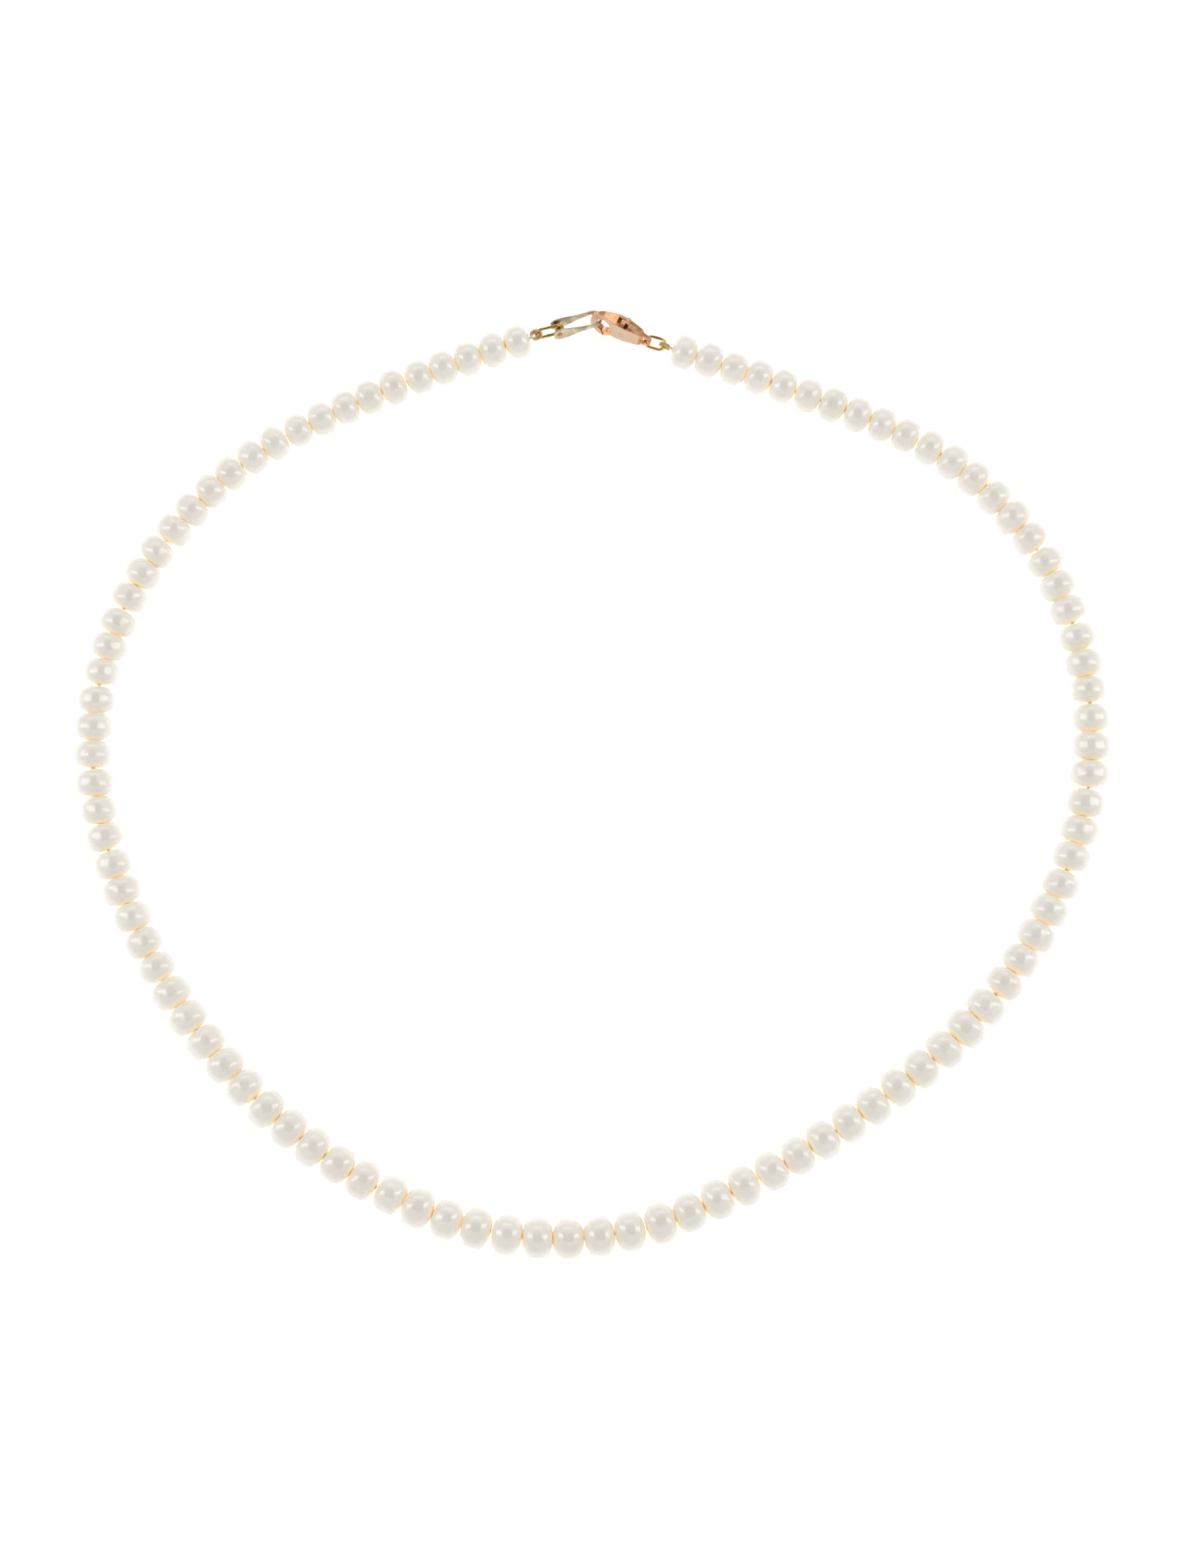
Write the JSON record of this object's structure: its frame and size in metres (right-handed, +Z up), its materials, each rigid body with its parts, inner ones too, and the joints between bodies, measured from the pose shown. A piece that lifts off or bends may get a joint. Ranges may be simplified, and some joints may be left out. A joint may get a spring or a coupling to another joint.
{
  "type": "pearl necklace",
  "caption": "Single-strand graduated white pearl necklace on silk, closed by a rose gold lobster clasp, oval jump rings and a folded strip catch link.",
  "frame": {"origin": "middle of the closed loop's bounding box at table height", "axes": "+Z up from the table, +Y towards the clasp, +X across the loop"},
  "size_m": [0.1434, 0.133, 0.0058],
  "materials": {
    "pearl": "satin nacre lustre",
    "silk": "twisted silk",
    "gimp": "fine wound gold wire",
    "yellow_gold": "polished",
    "pale_gold": "polished strip",
    "rose_gold": "polished, brushed on the sides",
    "spring_steel": "drawn wire"
  },
  "bodies": {
    "strand_left_01": {"pearls_left_01": "pearl", "thread_left_01": "silk", "gimp_left": "gimp"},
    "strand_left_02": {"pearls_left_02": "pearl", "thread_left_02": "silk"},
    "strand_left_03": {"pearls_left_03": "pearl", "thread_left_03": "silk"},
    "strand_left_04": {"pearls_left_04": "pearl", "thread_left_04": "silk"},
    "strand_left_05": {"pearls_left_05": "pearl", "thread_left_05": "silk"},
    "strand_left_06": {"pearls_left_06": "pearl", "thread_left_06": "silk"},
    "strand_left_07": {"pearls_left_07": "pearl", "thread_left_07": "silk"},
    "strand_left_08": {"pearls_left_08": "pearl", "thread_left_08": "silk"},
    "strand_left_09": {"pearls_left_09": "pearl", "thread_left_09": "silk"},
    "strand_left_10": {"pearls_left_10": "pearl", "thread_left_10": "silk"},
    "strand_left_11": {"pearls_left_11": "pearl", "thread_left_11": "silk"},
    "strand_front": {"pearls_front": "pearl", "thread_front": "silk"},
    "strand_right_11": {"pearls_right_11": "pearl", "thread_right_11": "silk"},
    "strand_right_10": {"pearls_right_10": "pearl", "thread_right_10": "silk"},
    "strand_right_09": {"pearls_right_09": "pearl", "thread_right_09": "silk"},
    "strand_right_08": {"pearls_right_08": "pearl", "thread_right_08": "silk"},
    "strand_right_07": {"pearls_right_07": "pearl", "thread_right_07": "silk"},
    "strand_right_06": {"pearls_right_06": "pearl", "thread_right_06": "silk"},
    "strand_right_05": {"pearls_right_05": "pearl", "thread_right_05": "silk"},
    "strand_right_04": {"pearls_right_04": "pearl", "thread_right_04": "silk"},
    "strand_right_03": {"pearls_right_03": "pearl", "thread_right_03": "silk"},
    "strand_right_02": {"pearls_right_02": "pearl", "thread_right_02": "silk"},
    "strand_right_01": {"pearls_right_01": "pearl", "thread_right_01": "silk", "gimp_right": "gimp"},
    "left_ring": {"jump_ring_left": "yellow_gold"},
    "link": {"catch_link": "pale_gold", "link_post": "yellow_gold"},
    "right_ring": {"jump_ring_right": "yellow_gold"},
    "clasp": {"clasp_body": "rose_gold", "lever_pin": "rose_gold", "lever_spring": "spring_steel"},
    "lever": {"clasp_lever": "rose_gold"}
  },
  "joints": [
    {"name": "bend_left_11", "type": "hinge", "parent": "strand_front", "child": "strand_left_11", "pos_m": [-0.01367, -0.06274, 0.0029], "axis": [0, 0, 1], "range_deg": [-5.62, 5.62]},
    {"name": "bend_left_10", "type": "hinge", "parent": "strand_left_11", "child": "strand_left_10", "pos_m": [-0.02926, -0.05679, 0.0029], "axis": [0, 0, 1], "range_deg": [-2.49, 2.49]},
    {"name": "bend_left_09", "type": "hinge", "parent": "strand_left_10", "child": "strand_left_09", "pos_m": [-0.04588, -0.04463, 0.0029], "axis": [0, 0, 1], "range_deg": [-5.08, 5.08]},
    {"name": "bend_left_08", "type": "hinge", "parent": "strand_left_09", "child": "strand_left_08", "pos_m": [-0.05863, -0.02844, 0.0029], "axis": [0, 0, 1], "range_deg": [-3.67, 3.67]},
    {"name": "bend_left_07", "type": "hinge", "parent": "strand_left_08", "child": "strand_left_07", "pos_m": [-0.06654, -0.01059, 0.0029], "axis": [0, 0, 1], "range_deg": [-0.64, 0.64]},
    {"name": "drape_left_06", "type": "hinge", "parent": "strand_left_07", "child": "strand_left_06", "pos_m": [-0.06887, 0.0009, 0.0029], "axis": [0.9998, -0.02, 0], "range_deg": [0, 15]},
    {"name": "drape_left_05", "type": "hinge", "parent": "strand_left_06", "child": "strand_left_05", "pos_m": [-0.06836, 0.0126, 0.0029], "axis": [0.9998, -0.0183, 0], "range_deg": [0, 15]},
    {"name": "drape_left_04", "type": "hinge", "parent": "strand_left_05", "child": "strand_left_04", "pos_m": [-0.06515, 0.02341, 0.0029], "axis": [0.9999, -0.0154, 0], "range_deg": [0, 15]},
    {"name": "bend_left_03", "type": "hinge", "parent": "strand_left_04", "child": "strand_left_03", "pos_m": [-0.05951, 0.0332, 0.0029], "axis": [0, 0, 1], "range_deg": [-7.78, 7.78]},
    {"name": "bend_left_02", "type": "hinge", "parent": "strand_left_03", "child": "strand_left_02", "pos_m": [-0.04288, 0.04817, 0.0029], "axis": [0, 0, 1], "range_deg": [-1.29, 1.29]},
    {"name": "bend_left_01", "type": "hinge", "parent": "strand_left_02", "child": "strand_left_01", "pos_m": [-0.02614, 0.056, 0.0029], "axis": [0, 0, 1], "range_deg": [-6.51, 6.51]},
    {"name": "bend_right_11", "type": "hinge", "parent": "strand_front", "child": "strand_right_11", "pos_m": [0.00717, -0.06215, 0.0029], "axis": [0, 0, 1], "range_deg": [-4.16, 4.16]},
    {"name": "bend_right_10", "type": "hinge", "parent": "strand_right_11", "child": "strand_right_10", "pos_m": [0.0225, -0.05552, 0.0029], "axis": [0, 0, 1], "range_deg": [-4.12, 4.12]},
    {"name": "bend_right_09", "type": "hinge", "parent": "strand_right_10", "child": "strand_right_09", "pos_m": [0.03989, -0.04441, 0.0029], "axis": [0, 0, 1], "range_deg": [-4.41, 4.41]},
    {"name": "bend_right_08", "type": "hinge", "parent": "strand_right_09", "child": "strand_right_08", "pos_m": [0.05507, -0.03047, 0.0029], "axis": [0, 0, 1], "range_deg": [-4.22, 4.22]},
    {"name": "bend_right_07", "type": "hinge", "parent": "strand_right_08", "child": "strand_right_07", "pos_m": [0.06511, -0.01334, 0.0029], "axis": [0, 0, 1], "range_deg": [-0.369, 0.369]},
    {"name": "drape_right_06", "type": "hinge", "parent": "strand_right_07", "child": "strand_right_06", "pos_m": [0.06834, -0.00184, 0.0029], "axis": [0.9998, -0.02, 0], "range_deg": [0, 15]},
    {"name": "drape_right_05", "type": "hinge", "parent": "strand_right_06", "child": "strand_right_05", "pos_m": [0.06883, 0.01008, 0.0029], "axis": [0.9998, -0.0183, 0], "range_deg": [0, 15]},
    {"name": "drape_right_04", "type": "hinge", "parent": "strand_right_05", "child": "strand_right_04", "pos_m": [0.06667, 0.02138, 0.0029], "axis": [0.9999, -0.0154, 0], "range_deg": [0, 15]},
    {"name": "bend_right_03", "type": "hinge", "parent": "strand_right_04", "child": "strand_right_03", "pos_m": [0.06196, 0.03187, 0.0029], "axis": [0, 0, 1], "range_deg": [-8.28, 8.28]},
    {"name": "bend_right_02", "type": "hinge", "parent": "strand_right_03", "child": "strand_right_02", "pos_m": [0.04551, 0.04745, 0.0029], "axis": [0, 0, 1], "range_deg": [-2.63, 2.63]},
    {"name": "bend_right_01", "type": "hinge", "parent": "strand_right_02", "child": "strand_right_01", "pos_m": [0.02853, 0.05472, 0.0029], "axis": [0, 0, 1], "range_deg": [-5.66, 5.66]},
    {"name": "left_ring_roll", "type": "hinge", "parent": "strand_left_01", "child": "left_ring", "pos_m": [-0.00792, 0.06291, 0.0029], "axis": [0.9703, 0.2419, 0], "range_deg": [-8, 8]},
    {"name": "link_roll", "type": "hinge", "parent": "left_ring", "child": "link", "pos_m": [-0.00487, 0.06367, 0.0029], "axis": [0.9563, 0.2924, 0], "range_deg": [-8, 8]},
    {"name": "right_ring_roll", "type": "hinge", "parent": "strand_right_01", "child": "right_ring", "pos_m": [0.00746, 0.06209, 0.0029], "axis": [0.9575, -0.2884, 0], "range_deg": [-4, 8]},
    {"name": "clasp_roll", "type": "hinge", "parent": "right_ring", "child": "clasp", "pos_m": [0.00023, 0.06523, 0.0029], "axis": [0.9191, -0.3939, 0], "range_deg": [-8, 8]},
    {"name": "lever_press", "type": "hinge", "parent": "clasp", "child": "lever", "pos_m": [0.00436, 0.06353, 0.00309], "axis": [0.3702, 0.8637, -0.342], "range_deg": [0, 14], "stiffness_Nm_per_rad": 0.00001, "springref_deg": -5.73}
  ],
  "couplings": [
    {"joint": "bend_left_10", "follows": "bend_left_11", "ratio": 0.4395},
    {"joint": "bend_left_09", "follows": "bend_left_11", "ratio": -0.9},
    {"joint": "bend_left_08", "follows": "bend_left_11", "ratio": -0.65019},
    {"joint": "bend_left_07", "follows": "bend_left_11", "ratio": 0.11069},
    {"joint": "drape_left_05", "follows": "drape_left_06", "ratio": 1},
    {"joint": "drape_left_04", "follows": "drape_left_06", "ratio": 1},
    {"joint": "bend_left_03", "follows": "bend_left_11", "ratio": -1.3819},
    {"joint": "bend_left_02", "follows": "bend_left_11", "ratio": 0.22629},
    {"joint": "bend_left_01", "follows": "bend_left_11", "ratio": 1.1556},
    {"joint": "bend_right_11", "follows": "bend_left_11", "ratio": -0.73748},
    {"joint": "bend_right_10", "follows": "bend_left_11", "ratio": -0.72943},
    {"joint": "bend_right_09", "follows": "bend_left_11", "ratio": 0.7815},
    {"joint": "bend_right_08", "follows": "bend_left_11", "ratio": 0.74751},
    {"joint": "bend_right_07", "follows": "bend_left_11", "ratio": -0.0621},
    {"joint": "drape_right_06", "follows": "drape_left_06", "ratio": 1},
    {"joint": "drape_right_05", "follows": "drape_left_06", "ratio": 1},
    {"joint": "drape_right_04", "follows": "drape_left_06", "ratio": 1},
    {"joint": "bend_right_03", "follows": "bend_left_11", "ratio": 1.4701},
    {"joint": "bend_right_02", "follows": "bend_left_11", "ratio": -0.46547},
    {"joint": "bend_right_01", "follows": "bend_left_11", "ratio": -1.0046}
  ]
}
